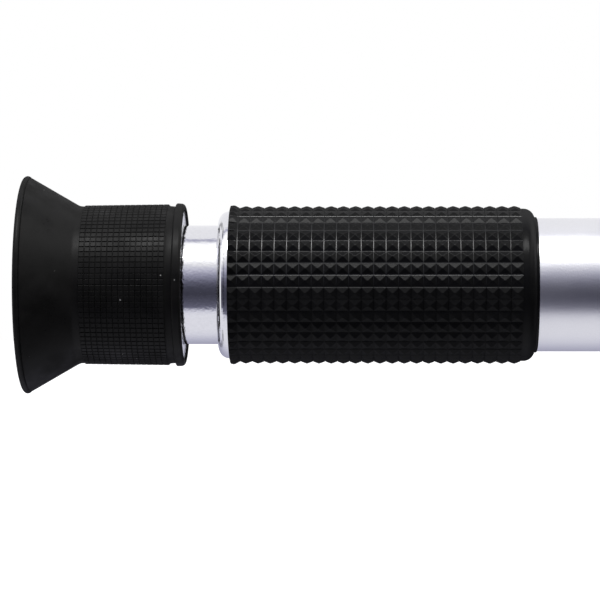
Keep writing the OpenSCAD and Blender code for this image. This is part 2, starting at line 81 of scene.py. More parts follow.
# %% Start a piece and pick its parts
def begin(add, **settings):
    """Adds a primitive on its own and puts its place and size into its mesh."""
    bpy.ops.object.select_all(action="DESELECT")
    add(**settings)
    bpy.ops.object.transform_apply(location=True, rotation=True, scale=True)
    return bpy.context.object


def pick(piece, kind, test):
    """In edit mode, selects the edges or faces that pass a test."""
    bpy.ops.mesh.select_mode(type=kind)
    bpy.ops.mesh.select_all(action="DESELECT")
    bpy.ops.object.mode_set(mode="OBJECT")
    parts = piece.data.polygons if kind == "FACE" else piece.data.edges
    for part in parts:
        part.select = test(part)
    bpy.ops.object.mode_set(mode="EDIT")


print("Ready to model")

# %% [markdown]
# ## Turning on the lathe
# Most of this instrument is round about its optical axis, the X axis. A turned piece starts as a plane
# that is merged to one vertex. That vertex is extruded from corner to corner along the outline, and
# the outline is spun once round. Spinning leaves the first and last outline on top of each other, so
# the doubles are merged and the normals recalculated before the piece is used. A Screw modifier could
# turn the outline too, but a spin leaves a finished mesh, which studs can be joined to at once.

# %% Draw an outline and spin it
same_place = 0.001
turned_crease = 35


def at(x, r):
    """A corner of an outline, in millimetres along the axis and out from it."""
    return Vector((x, 0, r)) * MM


def arc(x, r, radius, start, end, steps=8):
    """Corners along an arc. The angle runs from straight out towards the front."""
    turns = [math.radians(start + (end - start) * i / steps) for i in range(steps + 1)]
    return [at(x + radius * math.sin(a), r + radius * math.cos(a)) for a in turns]


def turned(name, outline, axis=(1, 0, 0), centre=(0, 0, 0), steps=180):
    """Extrudes one vertex along a closed outline and spins the outline round an axis."""
    piece = begin(bpy.ops.mesh.primitive_plane_add, size=MM)
    bpy.ops.object.mode_set(mode="EDIT")
    bpy.ops.mesh.select_mode(type="VERT")
    bpy.ops.mesh.select_all(action="SELECT")
    bpy.ops.mesh.merge(type="CENTER")
    bpy.ops.transform.translate(value=outline[0])
    for start, end in zip(outline, outline[1:] + outline[:1]):
        bpy.ops.mesh.extrude_vertices_move(TRANSFORM_OT_translate={"value": end - start})
    bpy.ops.mesh.select_all(action="SELECT")
    bpy.ops.mesh.spin(steps=steps, angle=math.tau, axis=axis, center=centre)
    bpy.ops.mesh.select_all(action="SELECT")
    bpy.ops.mesh.remove_doubles(threshold=same_place * MM)
    bpy.ops.mesh.normals_make_consistent(inside=False)
    bpy.ops.object.mode_set(mode="OBJECT")
    bpy.ops.object.shade_smooth_by_angle(angle=math.radians(turned_crease))
    piece.name = name
    print(name, "turned:", len(piece.data.polygons), "faces")
    return piece


print("Lathe ready")

# %% [markdown]
# ## One stud, many studs
# Both large rubber pieces are moulded with studs: low squares on the focus ring, pyramids on the grip.
# Cutting the grooves into a sleeve would need hundreds of cuts. Instead one stud is modelled on the
# top of the barrel and repeated. It starts as a block, and each step extrudes its upper face and draws
# that face in, so that the sides lean.

# %% Model a stud
straight_up = 0.999


def stud(foot, low, floor, steps, soft):
    """A block up to the groove floor. Each step raises its upper face and takes a width off its sides."""
    piece = begin(
        bpy.ops.mesh.primitive_cube_add, size=1, scale=Vector((*foot, floor - low)) * MM,
        location=Vector((0, 0, (low + floor) / 2)) * MM,
    )
    bpy.ops.object.mode_set(mode="EDIT")
    long, wide = foot
    for off_ends, off_sides, rise in steps:
        pick(piece, "FACE", lambda face: face.normal.z > straight_up)
        bpy.ops.mesh.extrude_region_move(TRANSFORM_OT_translate={"value": (0, 0, rise * MM)})
        bpy.ops.transform.resize(value=(1 - 2 * off_ends / long, 1 - 2 * off_sides / wide, 1))
        long, wide = long - 2 * off_ends, wide - 2 * off_sides
    top = (floor + sum(rise for off_ends, off_sides, rise in steps) - same_place) * MM
    pick(piece, "EDGE", lambda edge: max(piece.data.vertices[v].co.z for v in edge.vertices) > top)
    bpy.ops.mesh.bevel(offset=soft * MM, segments=1)
    bpy.ops.object.mode_set(mode="OBJECT")
    return piece


print("Ready to model studs")

# %% [markdown]
# ### Repeating a stud
# A loop could copy the stud, but it would leave hundreds of objects. One Array repeats it along the axis
# by a fixed step, and a second Array repeats that line round the barrel. This one follows an empty that
# is turned about the axis, and the empty is removed once the Array is applied.

# %% Repeat a piece
def repeat(piece, count, step=None, turn=None):
    """Repeats a piece by a step in millimetres, or by a turn in degrees about the axis."""
    copies = piece.modifiers.new("copies", "ARRAY")
    copies.count = count
    copies.use_relative_offset = False
    if step:
        copies.use_constant_offset = True
        copies.constant_offset_displace = Vector(step) * MM
        bpy.ops.object.modifier_apply(modifier=copies.name)
    else:
        bpy.ops.object.empty_add(rotation=(math.radians(turn), 0, 0))
        pivot = bpy.context.object
        copies.use_object_offset = True
        copies.offset_object = pivot
        bpy.context.view_layer.objects.active = piece
        bpy.ops.object.modifier_apply(modifier=copies.name)
        bpy.data.objects.remove(pivot)


print("Ready to repeat")

# %% [markdown]
# ### Studs and sleeve in one piece
# The studs are moulded in one with the sleeve below them. A Boolean could weld them to it, but on
# hundreds of studs it is slow and can leave slivers. Joining puts both into one mesh, and the roots of
# the studs are hidden inside the sleeve.

# %% Join the studs to a sleeve
def join(body, studs):
    """Makes the studs part of the sleeve that they stand on."""
    bpy.ops.object.select_all(action="DESELECT")
    studs.select_set(True)
    body.select_set(True)
    bpy.context.view_layer.objects.active = body
    bpy.ops.object.join()
    print(body.name, "with its studs:", len(body.data.polygons), "faces")


print("Ready to join")

# %% [markdown]
# ## The eyecup
# The eyecup is one soft moulding: a flared cup for the eye, a knurled focus ring for the fingers and a
# round bead at the front end. Its outline runs over the thin rounded lip, down the cone, along the
# skirt and over the bead, and comes back inside, past the groove that holds the flange of the metal
# housing, along its seat, round the eye opening and up the inner wall of the cup. A cylinder could be
# shaped ring by ring instead, but an outline has every radius, inside and out, in one list.

# %% Turn the eyecup
cup_low, cup_high = (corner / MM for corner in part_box("eyecup"))
x_rim, x_cup, rim_r = cup_low.x, cup_high.x, cup_high.z
housing_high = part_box("eyepiece_housing")[1] / MM
# Gap between pieces that seat on each other
seat = 0.05
# Flange of the metal housing and the groove that holds it
flange_t, flange_step = 0.8, 1
flange_r, x_flange = housing_high.z, housing_high.x - flange_t
bore_r = flange_r - flange_step + seat
# Rounded lip, and the fine crease in front of it
lip, lip_start, lip_end = 0.55, -130, 72
crease, crease_foot, crease_w = 0.07, 0.02, 0.14
# Skirt under the knurl, which rises towards the bead
x_skirt, skirt_r, skirt_rise, fillet = x_rim + 10.2, 14.42, 0.2, 2
# Bead, and the valley between it and the knurl
bead_r, bead_w, bead_soft, bead_start, bead_flank = 14.97, 1.7, 0.25, -80, 0.1
bead_round, bead_fall = 0.7, 0.05
valley_r, valley_l = 14.38, 1.25
step_w, step_h = 0.2, 0.05
knurl_start, knurl_end = x_skirt + 0.95, x_cup - bead_w - valley_l
# Floor of the cup with the eye opening, and its inner wall
x_floor, floor_t, eye_r, eye_start = x_rim + 8.6, 1.2, 7.7, 220
corner, wall_in, inner_lean = 1.6, 1, 44
lean = math.degrees(math.atan((rim_r - skirt_r) / (x_skirt - x_rim - lip)))
x_lip = x_rim + lip + lip * math.sin(math.radians(lip_end))
r_lip = rim_r - (x_lip - x_rim - lip) * math.tan(math.radians(lean))

eyecup = turned("eyecup_moulding", (
    arc(x_rim + lip, rim_r - lip, lip, lip_start, lip_end, steps=12)
    + [at(x_lip + crease_foot, r_lip - 2 * crease), at(x_lip + crease_w, r_lip - crease)]
    + arc(x_skirt + fillet * math.tan(math.radians(lean / 2)), skirt_r + fillet, fillet, 180 + lean, 180)
    + [at(knurl_start, skirt_r), at(knurl_end, skirt_r + skirt_rise)]
    + [at(knurl_end + step_w, skirt_r + step_h), at(x_cup - bead_w, valley_r)]
    + arc(x_cup - bead_w + bead_flank + bead_soft, bead_r - bead_soft, bead_soft, bead_start, 0, steps=5)
    + arc(x_cup - bead_round, bead_r - bead_round - bead_fall, bead_round, 0, 90, steps=10)
    + [at(x_cup, flange_r + 3 * seat), at(x_cup - 2 * seat, flange_r + seat)]
    + [at(x_flange - seat, flange_r + seat), at(x_flange - seat, bore_r)]
    + [at(x_floor + floor_t, bore_r), at(x_floor + floor_t, eye_r)]
    + arc(x_floor + floor_t / 2, eye_r + floor_t / 2, floor_t / 2, eye_start, 270, steps=5)
    + arc(x_floor - corner, bore_r - wall_in - corner, corner, 90, inner_lean)
))

# %% [markdown]
# ### The focus ring's knurl
# The fingers turn the eyepiece by fifteen rings of low flat studs with narrow grooves between them. A
# bump map would be quicker, but it would leave the ring's outline smooth. Each line of studs rises a
# little towards the bead, as the skirt does, so the step of the Array has a small upward share, and
# the studs reach deep enough into the skirt to stay rooted in it.

# %% Knurl the focus ring
knurl_columns, knurl_rows, knurl_h, knurl_flank = 15, 90, 0.14, 0.07
knurl_root, knurl_floor, knurl_soft = 0.2, 0.02, 0.02
# The share of the pitch that a stud takes up, and the height above the skirt where it is measured
square_share, gauge_h = 0.93, 0.3
knurl_pitch = (knurl_end - knurl_start) / knurl_columns
knurl_arc = math.tau * (skirt_r + gauge_h) / knurl_rows
knurl = stud(
    foot=(square_share * knurl_pitch, square_share * knurl_arc),
    low=skirt_r - knurl_root, floor=skirt_r + knurl_floor,
    steps=[(knurl_flank, knurl_flank, knurl_h)], soft=knurl_soft,
)
knurl.location.x = (knurl_start + knurl_pitch / 2) * MM
bpy.ops.object.transform_apply(location=True)
repeat(knurl, knurl_columns, step=(knurl_pitch, 0, skirt_rise / knurl_columns))
repeat(knurl, knurl_rows, turn=360 / knurl_rows)
join(eyecup, knurl)

# %% [markdown]
# ## The grip
# The grip is a thick rubber sleeve covered with pyramids, with a smooth rounded band at its front end
# that runs down to a fine lip on the tube. The sleeve is turned first. Its outside is the floor of the
# grooves, and its rear end flares a little where it is pushed against the collar. A sleeve of its own
# keeps that floor one clean surface, whatever the studs on it look like.

# %% Turn the sleeve
grip_low, grip_high = (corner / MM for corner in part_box("grip"))
x_rear, x_front = grip_low.x, grip_high.x
groove_r, band_r, lip_r, sleeve_bore_r = 14.0, 13.95, 12.4, 11.95
band_l, band_step, band_round, grip_lip_l, lip_soft = 2.95, 0.1, 2, 0.45, 0.1
x_band = x_front - band_l
columns, stud_cut, flare = 24, 0.5, 0.25
pitch = (x_band - x_rear + stud_cut) / columns
x_studs = x_rear - stud_cut
x_ring = x_studs + pitch
band_turn = math.degrees(math.acos((lip_r - band_r + band_round) / band_round))
x_round = x_front - grip_lip_l - band_round * math.sin(math.radians(band_turn))

grip = turned("grip_sleeve", (
    [at(x_rear, sleeve_bore_r), at(x_rear, groove_r + flare), at(x_ring, groove_r)]
    + [at(x_band - band_step, groove_r), at(x_band, band_r)]
    + arc(x_round, band_r - band_round, band_round, 0, band_turn, steps=14)
    + [at(x_front - lip_soft, lip_r), at(x_front, lip_r - lip_soft), at(x_front, sleeve_bore_r)]
))

# %% [markdown]
# ### The pyramids
# Twenty-four pyramids stand along the barrel and forty round it. Each line of them stands on a low
# rail along the barrel: the first two steps draw in only the long sides, at two slopes, so that some
# strip beside every groove faces the light and shows as a thin line. The third step draws in all four
# sides to a top that is not quite sharp, as rubber never fills the deepest corner of a mould, and a
# bevel softens the ridges in the same way. The rear end face of the sleeve cuts into the first ring of
# pyramids, so the line of studs starts a little behind that face, and a bisect takes off what stands
# over and closes the cut. The first stud is then tilted up with its floor, where the sleeve flares.

# %% Cover the grip with pyramids
rows, stud_turn = 40, -1.7
line_w, groove_w = 0.13, 0.1
stud_root, stud_floor, ridge_soft = 0.06, 0.005, 0.03
arc_pitch = math.tau * groove_r / rows
# Each slope: the width it takes off the ends and off the sides, and its angle in degrees
slopes = ((0, 0.08, 34), (0, 0.07, 16), (0.93, 0.82, 24))
pyramid = stud(
    foot=(pitch - line_w, arc_pitch - groove_w), low=groove_r - stud_root, floor=groove_r + stud_floor,
    steps=[(ends, sides, sides * math.tan(math.radians(angle))) for ends, sides, angle in slopes],
    soft=ridge_soft,
)
pyramid.location.x = (x_studs + pitch / 2) * MM
bpy.ops.object.transform_apply(location=True)
repeat(pyramid, columns, step=(pitch, 0, 0))
bpy.ops.object.mode_set(mode="EDIT")
bpy.ops.mesh.select_all(action="SELECT")
bpy.ops.mesh.bisect(plane_co=(x_rear * MM, 0, 0), plane_no=(-1, 0, 0), clear_outer=True, use_fill=True)
pick(pyramid, "FACE", lambda face: face.center.x < x_ring * MM)
tilt = math.atan(flare / (x_ring - x_rear))
bpy.ops.transform.rotate(value=-tilt, orient_axis="Y", center_override=at(x_ring, groove_r))
bpy.ops.object.mode_set(mode="OBJECT")
pyramid.rotation_euler.x = -math.radians(stud_turn + 180 / rows)
bpy.ops.object.transform_apply(rotation=True)
repeat(pyramid, rows, turn=360 / rows)
join(grip, pyramid)

# %% [markdown]
# ## The cap over the calibration screw
# A small rubber plug closes the well of the calibration screw. It is turned about an upright axis: a
# plug with a tapered end, and a round cap with a soft edge and a shallow dish for the fingertip. Two
# cylinders could be joined instead, but the outline gives the taper and the dish as well.

# %% Turn the cap
cap_low, cap_high = (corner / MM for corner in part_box("calibration_cap"))
cap_x = (cap_low.x + cap_high.x) / 2
cap_r = (cap_high.x - cap_low.x) / 2
cap_h, cap_soft, plug_r, plug_taper, taper_l = 1.2, 0.6, 2.13, 0.4, 0.5
cap_flange, cap_edge = cap_high.z - cap_h, cap_high.z - cap_soft
# Each corner of the dish: its distance in from the edge, and its depth
dish = ((1.2, 0.06), (1.8, 0.25), (cap_r, 0.4))


def beside(r, z):
    """A corner of an upright outline, out from the screw's axis and up."""
    return Vector((cap_x + r, 0, z)) * MM


edge_turns = [math.radians(a) for a in range(-60, 91, 15)]
cap = turned("calibration_cap_moulding", (
    [beside(0, cap_low.z), beside(plug_r - plug_taper, cap_low.z), beside(plug_r, cap_low.z + taper_l)]
    + [beside(plug_r, cap_flange), beside(cap_r - cap_soft, cap_flange)]
    + [
        beside(cap_r - cap_soft + cap_soft * math.cos(a), cap_edge + cap_soft * math.sin(a))
        for a in edge_turns
    ]
    + [beside(cap_r - inwards, cap_high.z - depth) for inwards, depth in dish]
), axis=(0, 0, 1), centre=Vector((cap_x, 0, 0)) * MM, steps=72)

# %% [markdown]
# ## The seal round the prism
# A thin rubber frame keeps the sample out of the head. It is a plane that is inset, so that its middle
# can be taken out, then extruded down into the pocket and rounded along its upper edges. It is
# modelled flat and then tilted onto the slope, about the hinge of the plate, because its upper edges
# are easy to find by their height while it lies flat.

# %% Frame the prism
hinge = Vector(next(j for j in frame["joints"] if j["name"] == "cover_hinge")["pos_m"]) / MM
slope, prism_start, prism_l, prism_w = 22, 6, 25, 14
seal_w, seal_t, seal_top, seal_soft, seal_crease = 0.8, 2, -2.1, 0.2, 40
longest_mitre = 3
outside = (prism_l + 2 * seal_w - 2 * seat, prism_w + 2 * seal_w - 2 * seat, 1)
seal = begin(bpy.ops.mesh.primitive_plane_add, size=MM)
bpy.ops.object.mode_set(mode="EDIT")
bpy.ops.transform.resize(value=outside)
bpy.ops.mesh.inset(thickness=(seal_w - 2 * seat) * MM)
bpy.ops.mesh.delete(type="FACE")
bpy.ops.mesh.select_all(action="SELECT")
bpy.ops.mesh.extrude_region_move(TRANSFORM_OT_translate={"value": (0, 0, -seal_t * MM)})
bpy.ops.mesh.select_all(action="SELECT")
bpy.ops.mesh.normals_make_consistent(inside=False)


def along_top(edge):
    """Tells whether an edge of the seal runs along its upper face and isn't a mitre."""
    start, end = (seal.data.vertices[v].co for v in edge.vertices)
    return min(start.z, end.z) > -seal_soft / 2 * MM and (start - end).length > longest_mitre * MM


pick(seal, "EDGE", along_top)
bpy.ops.mesh.bevel(offset=seal_soft * MM, segments=3)
bpy.ops.object.mode_set(mode="OBJECT")
seal.location = Vector((prism_start + prism_l / 2, 0, seal_top)) * MM
bpy.ops.object.transform_apply(location=True)
seal.rotation_euler.y = math.radians(slope)
seal.location = hinge * MM
bpy.ops.object.transform_apply(location=True, rotation=True)
bpy.ops.object.shade_smooth_by_angle(angle=math.radians(seal_crease))
seal.name = "prism_seal_frame"
print("Seal", len(seal.data.polygons), "faces")

# %% [markdown]
# ## What each new piece rides on
# Each new piece stands for one CAD node, takes that node's finish and moves with the same body: the
# eyecup turns with the eyepiece, and the cap lifts off.

# %% Ride on a body and replace a node
stands_for = {}
for piece, body, node, finish in (
    (eyecup, "eyepiece", "eyecup", "eyecup_rubber"),
    (grip, "barrel", "grip", "grip_rubber"),
    (cap, "cap", "calibration_cap", "eyecup_rubber"),
    (seal, "barrel", "prism_seal", "eyecup_rubber"),
):
    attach(piece, body)
    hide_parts(node)
    stands_for[node] = piece
    print(piece.name, "rides on", body, "and stands for", node)

# %% [markdown]
# ## Shared surface effects
# Real surfaces are never one even colour. Six effects are node groups with their own inputs: a fine
# grain, the rings that a lathe leaves, the soft patches of handling, specks of dust, the polish that
# stays in grooves, and the wear of the palm. They read Object coordinates, so nothing slides when a
# piece moves. Two small tools start a group and add a node with its links.

# %% Start a group and add nodes
def new_group(name, inputs, outputs):
    """A shader group with named number inputs and outputs, and its two end nodes."""
    group = bpy.data.node_groups.new(name, "ShaderNodeTree")
    for socket, value in inputs.items():
        made = group.interface.new_socket(socket, in_out="INPUT", socket_type="NodeSocketFloat")
        made.default_value = value
    for socket in outputs:
        group.interface.new_socket(socket, in_out="OUTPUT", socket_type="NodeSocketFloat")
    return group, group.nodes.new("NodeGroupInput"), group.nodes.new("NodeGroupOutput")


def put(tree, kind, values=None, **settings):
    """Adds a node, sets its options and fills or links its inputs."""
    node = tree.nodes.new(kind)
    for option, value in settings.items():
        setattr(node, option, value)
    for socket, value in (values or {}).items():
        if isinstance(value, bpy.types.NodeSocket):
            tree.links.new(value, node.inputs[socket])
        else:
            node.inputs[socket].default_value = value
    return node


print("Ready to add nodes")

# %% [markdown]
# ### Values and places
# Most effects work out a value from a place on the piece. Each node could be added in full every time,
# but with these four helpers an effect reads as a short recipe.

# %% Work out values and places
def combine(tree, operation, first, second):
    """Works out one value from two."""
    return put(tree, "ShaderNodeMath", {0: first, 1: second}, operation=operation).outputs["Value"]


def spread(tree, value, start, end, low=0.0, high=1.0):
    """Maps a value from one range onto another."""
    return put(tree, "ShaderNodeMapRange", {
        "Value": value, "From Min": start, "From Max": end, "To Min": low, "To Max": high,
    }).outputs["Result"]


def object_place(tree):
    """A point's place on its piece, split into X, Y and Z."""
    place = put(tree, "ShaderNodeTexCoord")
    return put(tree, "ShaderNodeSeparateXYZ", {"Vector": place.outputs["Object"]})


def out_from_axis(tree, split):
    """A point's distance from the barrel's axis."""
    across = put(tree, "ShaderNodeCombineXYZ", {"Y": split.outputs["Y"], "Z": split.outputs["Z"]})
    radius = put(tree, "ShaderNodeVectorMath", {0: across.outputs["Vector"]}, operation="LENGTH")
    return radius.outputs["Value"]


print("Ready to work out values")

# %% [markdown]
# ### Fine grain
# Blasted metal, moulded rubber and ground acrylic have a grain that is too fine to model. A picture of
# it would need a UV map, and a noise on Object coordinates has no seams, so the noise is used.

# %% Fine grain
grain, start, end = new_group("fine_grain", {"Scale": 4000.0}, ["Grain"])
place = put(grain, "ShaderNodeTexCoord")
noise = put(grain, "ShaderNodeTexNoise", {
    "Vector": place.outputs["Object"], "Scale": start.outputs["Scale"], "Detail": 2.0, "Roughness": 0.6,
})
grain.links.new(noise.outputs["Fac"], end.inputs["Grain"])
print(grain.name, "ready")

# %% [markdown]
# ### Rings of the lathe
# A turned surface has fine rings round its axis. A wave texture would space them evenly, and real ones
# aren't. A noise that knows only the place along the axis and the distance from it is the same all the
# way round, so it draws uneven rings on tubes and on end faces alike.

# %% Rings of the lathe
rings, start, end = new_group("turned_lines", {"Scale": 3000.0}, ["Line"])
split = object_place(rings)
line = put(rings, "ShaderNodeCombineXYZ", {"X": split.outputs["X"], "Y": out_from_axis(rings, split)})
noise = put(rings, "ShaderNodeTexNoise", {
    "Vector": line.outputs["Vector"], "Scale": start.outputs["Scale"], "Detail": 1.0,
}, noise_dimensions="2D")
rings.links.new(noise.outputs["Fac"], end.inputs["Line"])
print(rings.name, "ready")

# %% [markdown]
# ### Patches of handling
# Hands leave soft patches, some millimetres wide, where a surface is a little duller. They could be
# painted, but a noise does it for every piece at once. Noise seldom comes near 0 or 1, so its middle
# range is widened.

# %% Patches of handling
patch_start, patch_full = 0.35, 0.68
handling, start, end = new_group("handling", {"Scale": 120.0}, ["Patch"])
place = put(handling, "ShaderNodeTexCoord")
noise = put(handling, "ShaderNodeTexNoise", {
    "Vector": place.outputs["Object"], "Scale": start.outputs["Scale"], "Detail": 4.0, "Roughness": 0.65,
})
patch = spread(handling, noise.outputs["Fac"], patch_start, patch_full)
handling.links.new(patch, end.inputs["Patch"])
print(handling.name, "ready")

# %% [markdown]
# ### Specks of dust
# Dust lies in single specks of different sizes. Modelled grains would be far too many. A Voronoi
# texture gives each of its cells a random colour instead: red decides whether the cell holds a speck,
# and green how large the speck is.

# %% Specks of dust
dust, start, end = new_group("dust_specks", {"Scale": 500.0, "Share": 0.1, "Size": 0.12}, ["Speck"])
place = put(dust, "ShaderNodeTexCoord")
cells = put(dust, "ShaderNodeTexVoronoi", {
    "Vector": place.outputs["Object"], "Scale": start.outputs["Scale"],
})
chance = put(dust, "ShaderNodeSeparateColor", {"Color": cells.outputs["Color"]})
chosen = combine(dust, "LESS_THAN", chance.outputs["Red"], start.outputs["Share"])
reach = combine(dust, "MULTIPLY", chance.outputs["Green"], start.outputs["Size"])
inside = combine(dust, "LESS_THAN", cells.outputs["Distance"], reach)
speck = combine(dust, "MULTIPLY", chosen, inside)
dust.links.new(speck, end.inputs["Speck"])
print(dust.name, "ready")

# %% [markdown]
# ### Polish in the grooves
# Fingers seldom reach the floor of the grooves, so the rubber keeps its polish there. A second material
# could be put on those faces, but the distance from the axis already tells groove from stud: the polish
# is full within reach of one radius and fades just outside it.

# %% Polish in the grooves
grooves, start, end = new_group(
    "groove_polish", {"Middle": 14.0, "Reach": 0.045, "Fade": 0.055}, ["Polish"],
)
radius = combine(grooves, "MULTIPLY", out_from_axis(grooves, object_place(grooves)), 1 / MM)
depth = combine(grooves, "SUBTRACT", radius, start.outputs["Middle"])
off_middle = put(grooves, "ShaderNodeMath", {0: depth}, operation="ABSOLUTE").outputs["Value"]
fresh = spread(grooves, off_middle, start.outputs["Reach"], start.outputs["Fade"], 1.0, 0.0)
grooves.links.new(fresh, end.inputs["Polish"])
print(grooves.name, "ready")

# %% [markdown]
# ### Wear of the palm
# The palm holds the barrel from below and wears the rubber there. This wear depends only on a point's
# height, so one Map Range takes it from none above the axis to full below it.

# %% Wear of the palm
wear, start, end = new_group("palm_wear", {"Top": 1.0, "Bottom": -1.2}, ["Wear"])
height = combine(wear, "MULTIPLY", object_place(wear).outputs["Z"], 1 / MM)
worn = spread(wear, height, start.outputs["Top"], start.outputs["Bottom"])
wear.links.new(worn, end.inputs["Wear"])
print(wear.name, "ready")

# %% [markdown]
# ## The finishes
# A finish starts from one Principled shader. Its even values are set straight on the shader, and only
# what changes over the surface comes from the groups, which are placed in it with their own values.

# %% Start a finish and place effects
finishes = {}


def new_finish(name, **sockets):
    """A material with its Principled shader, and the shader's even values set."""
    finishes[name] = finish = bpy.data.materials.new(name + "_finish")
    finish.use_nodes = True
    shader = finish.node_tree.nodes["Principled BSDF"]
    for socket, value in sockets.items():
        shader.inputs[socket.replace("_", " ")].default_value = value
    return finish.node_tree, shader


def effect(tree, group, **values):
    """Places a shared effect in a finish, with its own values."""
    return put(tree, "ShaderNodeGroup", values, node_tree=group).outputs[0]


print("Ready to start finishes")

# %% [markdown]
# ### From a value to a look
# A group's value becomes a look in four ways. A Map Range turns it into a range of roughness, a colour
# ramp into shades, and a Mix node lays one colour over another. A Bump node turns it into fine relief,
# from a few thousandths to two hundredths of a millimetre high.

# %% Turn values into looks
def between(tree, value, low, high):
    """Spreads a value from 0 to 1 over a range."""
    return spread(tree, value, 0.0, 1.0, low, high)


def shades(tree, value, dark, light):
    """Goes from one colour to another."""
    ramp = put(tree, "ShaderNodeValToRGB", {"Fac": value})
    ramp.color_ramp.elements[0].color = (*dark, 1)
    ramp.color_ramp.elements[1].color = (*light, 1)
    return ramp.outputs["Color"]


def mixed(tree, share, first, second, blend="MIX"):
    """Mixes a share of a second colour into a first."""
    return put(tree, "ShaderNodeMix", {
        "Factor": share, "A": first, "B": second,
    }, data_type="RGBA", blend_type=blend).outputs["Result"]


def relief(tree, shader, height, depth):
    """Raises the surface by a height map, depth in millimetres."""
    bump = put(tree, "ShaderNodeBump", {"Height": height, "Distance": depth * MM, "Strength": 1.0})
    tree.links.new(bump.outputs["Normal"], shader.inputs["Normal"])


print("Ready to shade")

# %% [markdown]
# ### Satin aluminium
# The barrel is satin aluminium: bright, with a soft edge to every reflection. Roughness alone would make
# it look like plain paint, so the fine grain of blasting is added to its shade and its relief.

# %% Satin aluminium
tree, shader = new_finish("satin_aluminium", Metallic=1.0)
fine = effect(tree, grain, Scale=3500.0)
patch = effect(tree, handling, Scale=90.0)
tree.links.new(between(tree, patch, 0.28, 0.34), shader.inputs["Roughness"])
tree.links.new(shades(tree, fine, (0.76, 0.76, 0.785), (0.83, 0.83, 0.855)), shader.inputs["Base Color"])
relief(tree, shader, fine, 0.022)
print("Satin aluminium ready")

# %% [markdown]
# ### Chrome plate
# The neck, the collar and the eyepiece housing are chrome plated. They mirror the room sharply. A perfect
# mirror would look drawn, so tiny pits break the edges of what they mirror.

# %% Chrome plate
tree, shader = new_finish("chrome_plate", Metallic=1.0)
pits = effect(tree, grain, Scale=1800.0)
patch = effect(tree, handling, Scale=150.0)
tree.links.new(between(tree, patch, 0.03, 0.08), shader.inputs["Roughness"])
tree.links.new(shades(tree, pits, (0.74, 0.74, 0.77), (0.84, 0.84, 0.865)), shader.inputs["Base Color"])
relief(tree, shader, pits, 0.022)
print("Chrome plate ready")

# %% [markdown]
# ### Satin chrome
# The head is chrome too, but blasted before plating, so it mirrors the room only softly. Its grain is
# finer than the barrel's, and its shade changes slowly with the patches of handling.

# %% Satin chrome
tree, shader = new_finish("satin_chrome", Metallic=1.0)
fine = effect(tree, grain, Scale=4500.0)
patch = effect(tree, handling, Scale=80.0)
tree.links.new(between(tree, patch, 0.2, 0.3), shader.inputs["Roughness"])
tree.links.new(shades(tree, patch, (0.72, 0.72, 0.74), (0.78, 0.78, 0.8)), shader.inputs["Base Color"])
relief(tree, shader, fine, 0.005)
print("Satin chrome ready")

# %% [markdown]
# ### Brass
# The calibration screw and the carrier of the objective are brass. It tarnishes where it is touched, so
# both its shade and its roughness follow the patches of handling.

# %% Brass
tree, shader = new_finish("brass", Metallic=1.0)
fine = effect(tree, grain, Scale=2500.0)
patch = effect(tree, handling, Scale=400.0)
tree.links.new(between(tree, patch, 0.2, 0.4), shader.inputs["Roughness"])
tree.links.new(shades(tree, patch, (0.5, 0.34, 0.12), (0.72, 0.53, 0.22)), shader.inputs["Base Color"])
relief(tree, shader, fine, 0.004)
print("Brass ready")

# %% [markdown]
# ### Steel
# The pins, the rivets, the clip and the temperature strip are steel. Drawing and rolling leave fine
# lines on it, and the rings of the lathe are close enough to stand in for them.

# %% Steel
tree, shader = new_finish("steel", Metallic=1.0)
line = effect(tree, rings, Scale=3000.0)
tree.links.new(between(tree, line, 0.18, 0.34), shader.inputs["Roughness"])
tree.links.new(shades(tree, line, (0.5, 0.5, 0.51), (0.64, 0.64, 0.65)), shader.inputs["Base Color"])
relief(tree, shader, line, 0.004)
print("Steel ready")

# %% [markdown]
# ### Black anodising
# The mounts of the lenses and of the scale disc are black, so that no stray light gets into the view.
# Paint would be even, but anodising shows the turned metal below it, so the rings of the lathe give it
# its shade, its roughness and its relief.

# %% Black anodising
tree, shader = new_finish("black_anodised", Metallic=0.3)
line = effect(tree, rings, Scale=2500.0)
tree.links.new(between(tree, line, 0.4, 0.6), shader.inputs["Roughness"])
tree.links.new(shades(tree, line, (0.008, 0.008, 0.009), (0.022, 0.022, 0.024)), shader.inputs["Base Color"])
relief(tree, shader, line, 0.006)
print("Black anodising ready")

# %% [markdown]
# ### Rubber of the grip
# The grip is a hard satin rubber. Hands dull its studs, while the grooves keep the polish of the mould
# and catch the light as thin lines, which a coat in the grooves gives. The palm has worn the underside,
# so there the polish is gone and the rubber is duller. The pores of rubber shade each other at a slant,
# so it also gets rougher towards its outline.

# %% Rubber of the grip
def at_slant(tree, start, end, low, high):
    """Goes from one value to another as the surface turns away from the eye."""
    slant = put(tree, "ShaderNodeLayerWeight", {"Blend": 0.5}).outputs["Facing"]
    return spread(tree, slant, start, end, low, high)


